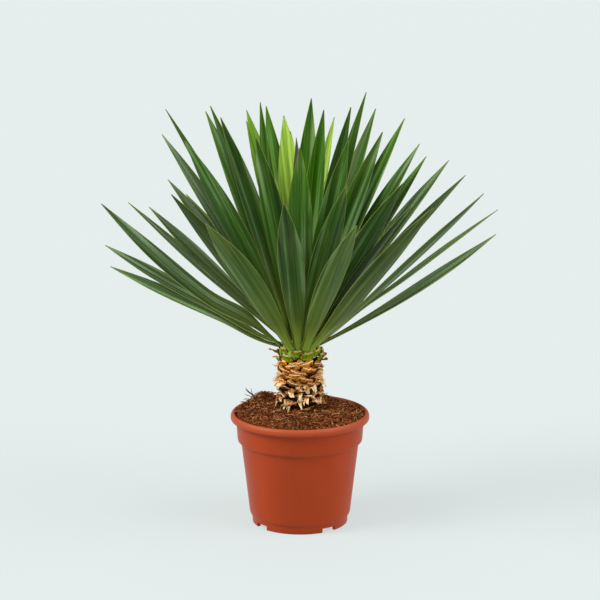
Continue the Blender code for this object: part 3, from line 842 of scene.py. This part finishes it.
def strip(draw, turn, level, kind, width, prongs=1, pointed=0.3):
    """A torn strip of dry leaf base that bends in one of the ways above and ends in a few prongs."""
    course = STRIP_COURSES[kind]
    turn, level, half = radians(turn), level * MM, 0.5 * width * MM
    size, lean = draw.uniform(0.85, 1.15), draw.uniform(-0.22, 0.22)
    cup, roll = draw.uniform(-0.6, 0.9), draw.uniform(-0.8, 0.8)
    wave, tone = draw.uniform(0, 6), draw.random()
    lengths = [draw.uniform(0.72, 1) for _ in range(prongs)]
    curls = [draw.uniform(-0.003, 0.003) for _ in range(prongs)]
    depth = 0.55 if prongs > 1 else 0.12

    def place(across, along):
        phase = min(0.5 * (across + 1) * prongs, prongs - 0.001)
        prong = int(phase)
        reach = along * lengths[prong] * (1 - depth * abs(1 - 2 * (phase - prong)))
        out, up = along_course(course, reach)
        wide = half * (1 - pointed * along ** 1.6) * (1 + 0.14 * sin(9 * along + wave))
        away = STEM_RADIUS + size * out * MM - cup * wide * across * across + curls[prong] * along * along
        spread = across * wide / max(0.012, away) + lean * along * along
        crumple = noise.noise_vector(Vector((350 * wide * across, 4.5 * along, 50 * tone)))
        high = level + size * up * MM + roll * wide * across * along
        return round_point(turn + spread, away, high) + crumple * (0.003 * along)

    return sheet(6 * prongs, 10, place, STRIP_THICKNESS, tone)


class YUCCA_OT_stem(bpy.types.Operator):
    """Makes the dry stem, its scales and torn strips"""

    bl_idname = "yucca.stem"
    bl_label = "Dry stem"

    def execute(self, context):
        colours = context.scene.yucca_colours
        draw = random.Random(5)
        vary = draw.uniform
        noise.seed_set(4)
        stem = lathe([(CLOSED, STEM_LEVELS[0])] + [(STEM_RADIUS, level) for level in STEM_LEVELS] +
                     [(CLOSED, STEM_LEVELS[-1])], STEM_SIDES)
        fibre = rough_ground("dry_stem_fibre", colours.stem_fibre, 0.003, 0.0008)
        keep(stem, "stem_core", fibre)
        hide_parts("trunk")
        scales, crumpled = [], []
        for step in range(SCALE_COUNT):
            turn = radians(SCALE_START + GOLDEN_ANGLE * step + vary(-5, 5))
            level = SCALE_TOP - SCALE_PITCH * step + vary(-0.001, 0.001)
            low = max(0, step - SHRINK_FROM) / (SCALE_COUNT - 1 - SHRINK_FROM)
            base = (vary(5.4, 7.4) + 3 * low, vary(10.5, 12.5) - 3 * low, vary(24, 29) - 5 * low,
                    vary(1, 1.8), draw.choice((-3.6, 3.6)), vary(1.2, 3), SCALE_OUTLINE,
                    vary(0, 0.4) + 0.8 * low, SCALE_CUT)
            group = scales if step < CRUMPLE_FROM else crumpled
            group.append(clasp(turn, level, STEM_RADIUS, base, draw, 0.1 + 0.18 * low, 0.007 * low))
        spare = random.Random(9)
        for turn, level in SPARE_SCALES:
            base = (6, 11.5, 25, 1.4, spare.uniform(-2, 2), 2, SCALE_OUTLINE, 0.2, SCALE_CUT)
            scales.append(clasp(radians(turn), level * MM, STEM_RADIUS, base, spare, 0.1))
        curls = [strip(draw, *row) for row in CURLS]
        for step in range(9):
            turn = 23 * step + 338 + vary(-8, 8)
            curls.append(strip(draw, turn, vary(190, 198), draw.choice(("splay", "bowl", "ring")),
                               vary(9, 15), 3))
            curls.append(strip(draw, turn + 11, vary(204, 222),
                               draw.choice(("flat", "arch", "ring", "bowl")), vary(7, 11)))
        frays = [strip(draw, *row, 2, 0.6) for row in FLAKES]
        for _ in range(30):
            frays.append(strip(draw, vary(0, 360), vary(200, 246), draw.choice(("flake", "sag")),
                               vary(7, 11), draw.choice((1, 2)), 0.7))
        gold, brown, white = colours.scale_face, colours.scale_brown, colours.bleached
        for name, parts, kind, face, inside, torn, cut in (
                ("dry_scales", scales, "golden", gold, colours.scale_cut, 1.4, SCALE_CUT),
                ("crumpled_scales", crumpled, "brown", brown, colours.scale_cut, 1.4, SCALE_CUT),
                ("bleached_curls", curls, "bleached", colours.bleached_face, white, 0.86, UNCUT),
                ("frayed_edges", frays, "frayed", gold, white, 0.94, UNCUT)):
            finish = dry_base("dry_leaf_base_" + kind, face, inside, colours, torn, cut)
            keep(joined(parts), name, finish, 35)
        return {"FINISHED"}


class YUCCA_OT_crown(bpy.types.Operator):
    """Makes the green end of the stem with the cut leaf bases round it"""

    bl_idname = "yucca.crown"
    bl_label = "Green stem end"

    def execute(self, context):
        colours = context.scene.yucca_colours
        draw = random.Random(3)
        noise.seed_set(3)
        core = lathe([(CLOSED, CORE[0][0])] + [(radius - 0.0006, level) for level, radius in CORE] +
                     [(CLOSED, CORE[-1][0] + 0.0003)], STEM_SIDES)
        flesh = rough_ground("green_stem_flesh", colours.stem_flesh, 0.004, 0.0003)
        keep(core, "green_core", flesh)
        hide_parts("crown")
        stubs = []
        for turn, level, rise, width, skew in STUBS:
            base = (5.6, rise, width * 0.88, 2.6, skew, 1.2, STUB_OUTLINE, 0.7, STUB_CUT)
            radius = blend(CORE, level * MM) + 0.00016 * (266 - level)
            stubs.append(clasp(radians(turn), level * MM, radius, base, draw, 0.05))
        keep(joined(stubs), "cut_bases", fresh_base(colours))
        dried = dry_base("dried_leaf_sheath", colours.sheath_dry, colours.scale_cut, colours, 1.05)
        tips = [strip(draw, *row, 1, 0.55) for row in DRIED_TIPS]
        keep(joined(tips), "dried_tips", dried, 35)
        return {"FINISHED"}


# Soil

def soil_height(x, y):
    """Height of the soil at a place: domed to the stem, heaped at the back left, low at the back right."""
    radius = hypot(x, y)
    out = (radius - 0.028) / (0.0967 - 0.028)
    rim = SOIL_RIM + 0.0022 * cos(atan2(y, x) - radians(150))
    dome = rim + (SOIL_MIDDLE - rim) * (1 - max(0, out) ** 2.6)
    heap = 0.0085 * exp(-((x + 0.06) ** 2 + (y - 0.063) ** 2) / 0.0006)
    heap += 0.0045 * exp(-((x - 0.018) ** 2 + (y - 0.084) ** 2) / 0.0012)
    hollow = 0.004 * exp(-((x - 0.066) ** 2 + (y - 0.056) ** 2) / 0.0008)
    grain = 0.0034 * noise.fractal(Vector((x, y, 0)) * 60, 1, 2, 3)
    clods = 0.002 * noise.noise(Vector((x, y, 0.3)) * 240)
    lip = min(1, max(0, (0.0985 - radius) / 0.01))
    return dome + heap * lip - hollow + (grain + clods) * min(1, max(0, 1.25 - out) * 3)


def soil_spot(draw, inner):
    """A random place on the soil, at least this far from the axis."""
    turn = draw.uniform(0, 2 * pi)
    radius = sqrt(draw.uniform(inner ** 2, (SOIL_WALL - LOOSE_MARGIN) ** 2))
    x, y = radius * cos(turn), radius * sin(turn)
    return Vector((x, y, soil_height(x, y)))


def laid(master, place, turned, size):
    """A copy of a piece, with its own mesh, at a place."""
    copy = master.copy()
    copy.data = master.data.copy()
    bpy.context.collection.objects.link(copy)
    copy.matrix_world = Matrix.LocRotScale(place, turned, Vector(size))
    return copy


class YUCCA_OT_soil(bpy.types.Operator):
    """Makes the soil with its coir fibres and crumbs of peat"""

    bl_idname = "yucca.soil"
    bl_label = "Soil"

    def execute(self, context):
        sizes, colours = context.scene.yucca_sizes, context.scene.yucca_colours
        draw = random.Random(23)
        rings = [(SOIL_WALL - RING_STEP * step, 0.169) for step in range(SOIL_RINGS)]
        ground = lathe(list(SOIL_SIDES) + rings, 160)
        for vertex in ground.data.vertices:
            if vertex.co.z > 0.165:
                vertex.co.z = soil_height(vertex.co.x, vertex.co.y)
        bed = rough_ground("coir_and_peat", colours.soil, 0.003, 0.0014)
        keep(ground, "soil_bed", bed, 60)
        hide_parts("soil")
        for kind in COIR:
            self.scatter_fibres(sizes, draw, *kind)
        self.scatter_crumbs(sizes, colours, draw)
        return {"FINISHED"}

    def scatter_fibres(self, sizes, draw, name, code, share, bend, half):
        """Lay copies of one bent fibre on the soil."""
        master = added(bpy.ops.mesh.primitive_cylinder_add, vertices=4, radius=half * MM, depth=1)
        bpy.ops.object.mode_set(mode="EDIT")
        for level in (-0.3, -0.1, 0.1, 0.3):
            bpy.ops.mesh.select_all(action="SELECT")
            bpy.ops.mesh.bisect(plane_co=(0, 0, level), plane_no=(0, 0, 1))
        bpy.ops.object.mode_set(mode="OBJECT")
        for vertex in master.data.vertices:
            level = vertex.co.z
            thin = 1 - 1.4 * level * level
            vertex.co.x = vertex.co.x * thin + 0.003 * bend * sin(2.6 * level)
            vertex.co.y = vertex.co.y * thin + 0.0024 * bend * cos(4 * level)
            vertex.co.z = FIBRE_LENGTH * level
        copies = []
        for _ in range(round(sizes.fibre_count * share)):
            spot = soil_spot(draw, LOOSE_INNER)
            lean = radians(90 + draw.gauss(0, 16))
            size, thick = draw.uniform(0.35, 1.25), draw.uniform(0.6, 1.3)
            spot.z += draw.uniform(0, 0.0012)
            copies.append(laid(master, spot, Euler((lean, 0, draw.uniform(0, 2 * pi))),
                               (thick, thick, size)))
        for x, y, z, length, lean, turn in TUFT if name == TUFT_KIND else ():
            tilt = Euler((0, radians(lean), radians(turn)))
            middle = tilt.to_matrix() @ Vector((0, 0, 0.4 * length))
            copies.append(laid(master, (Vector((x, y, z)) + middle) * MM, tilt,
                               (1.5, 1.5, length * MM / FIBRE_LENGTH)))
        bpy.data.objects.remove(master)
        finish = rough_ground(name, linear(code), 0.004, 0.0002)
        keep(joined(copies), name + "s", finish, 60)

    def scatter_crumbs(self, sizes, colours, draw):
        """Sink small lumps of peat half into the soil."""
        master = added(bpy.ops.mesh.primitive_ico_sphere_add, subdivisions=2, radius=CRUMB_RADIUS)
        for vertex in master.data.vertices:
            vertex.co *= 1 + 0.5 * noise.noise(vertex.co * 900)
        copies = []
        for _ in range(sizes.crumb_count):
            spot = soil_spot(draw, LOOSE_INNER + 0.001)
            size = draw.uniform(0.35, 1.35)
            turned = Euler([draw.uniform(0, 6) for _ in range(3)])
            copies.append(laid(master, spot, turned, (size, size * draw.uniform(0.6, 1.2), size * 0.8)))
        bpy.data.objects.remove(master)
        finish = rough_ground("peat_crumb", colours.crumb, 0.002, 0.0006)
        keep(joined(copies), "peat_crumbs", finish, 60)


class YUCCA_OT_pot(bpy.types.Operator):
    """Makes the moulded pot with its lip, collar, foot and drain holes"""

    bl_idname = "yucca.pot"
    bl_label = "Pot"

    def execute(self, context):
        pot = lathe([(radius * MM, level * MM) for radius, level in POT_OUTLINE],
                    context.scene.yucca_sizes.pot_sides)
        cutters = []
        for turn in NOTCH_TURNS:
            bar = added(bpy.ops.mesh.primitive_cube_add, size=1)
            bar.scale = NOTCH_BAR
            bar.rotation_euler = (0, 0, radians(turn))
            cutters.append(bar)
        for step in range(DRAIN_COUNT):
            turn = radians(NOTCH_TURNS[0]) + 2 * pi * step / DRAIN_COUNT
            cutters.append(added(bpy.ops.mesh.primitive_cylinder_add, vertices=24, radius=DRAIN_RADIUS,
                                 depth=0.012, location=round_point(turn, DRAIN_CIRCLE, FLOOR_TOP)))
        for cutter in cutters:
            apply_modifier(pot, "BOOLEAN", operation="DIFFERENCE", object=cutter)
            bpy.data.objects.remove(cutter)
        keep(pot, "nursery_pot", moulded_polypropylene(context.scene.yucca_colours), 50)
        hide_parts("pot")
        return {"FINISHED"}


class YUCCA_OT_stage(bpy.types.Operator):
    """Sets the camera, a plain pale floor and soft studio light"""

    bl_idname = "yucca.stage"
    bl_label = "Stage"

    def execute(self, context):
        scene = context.scene
        scene.camera = added(bpy.ops.object.camera_add, location=CAMERA_PLACE,
                             rotation=(radians(CAMERA_TILT), 0, 0))
        scene.camera.data.lens = CAMERA_LENS
        floor = added(bpy.ops.mesh.primitive_plane_add, size=FLOOR_SIZE)
        floor.name = "floor"
        finish, tree = new_finish("matt_paper_floor")
        shade = scene.yucca_colours.floor
        plug(tree, tree.nodes["Principled BSDF"], {
            "Base Color": tinted(shade, (0.22,) * 3), "Roughness": 0.9, "Specular IOR Level": 0,
            "Emission Color": shade, "Emission Strength": 0.69})
        floor.data.materials.append(finish)
        scene.world = bpy.data.worlds.new("studio")
        scene.world.use_nodes = True
        tree = scene.world.node_tree
        plug(tree, tree.nodes["Background"], {"Color": (1,) * 4, "Strength": WORLD_STRENGTH})
        for label, energy, size, tilt, turn in LIGHTS:
            lamp = added(bpy.ops.object.light_add, type="SUN", location=(0, 0, 2),
                         rotation=(radians(tilt), 0, radians(turn)))
            lamp.name = label
            lamp.data.energy = energy
            lamp.data.angle = radians(size)
        scene.view_settings.view_transform = "Standard"
        return {"FINISHED"}


class YUCCA_PT_panel(bpy.types.Panel):
    """Lists the steps that build the plant"""

    bl_label = "Potted yucca"
    bl_idname = "YUCCA_PT_panel"
    bl_space_type = "VIEW_3D"
    bl_region_type = "UI"
    bl_category = "Yucca"

    def draw(self, context):
        for group in (context.scene.yucca_sizes, context.scene.yucca_colours):
            for key in group.bl_rna.properties.keys():
                if key not in ("rna_type", "name"):
                    self.layout.prop(group, key)
        for step in STEPS:
            self.layout.operator(step.bl_idname)


STEPS = (YUCCA_OT_stage, YUCCA_OT_pot, YUCCA_OT_soil, YUCCA_OT_stem, YUCCA_OT_crown, YUCCA_OT_heart,
         YUCCA_OT_leaves)
CLASSES = (YuccaSizes, YuccaColours) + STEPS + (YUCCA_PT_panel,)


def register():
    """Add the classes and their settings."""
    for kind in CLASSES:
        bpy.utils.register_class(kind)
    bpy.types.Scene.yucca_sizes = PointerProperty(type=YuccaSizes)
    bpy.types.Scene.yucca_colours = PointerProperty(type=YuccaColours)


def unregister():
    """Take the classes and their settings away."""
    del bpy.types.Scene.yucca_sizes
    del bpy.types.Scene.yucca_colours
    for kind in reversed(CLASSES):
        bpy.utils.unregister_class(kind)


def main():
    """Build every piece."""
    register()
    bpy.ops.yucca.stage()
    bpy.ops.yucca.pot()
    bpy.ops.yucca.soil()
    bpy.ops.yucca.stem()
    bpy.ops.yucca.crown()
    bpy.ops.yucca.heart()
    bpy.ops.yucca.leaves()


if __name__ == "__main__":
    main()
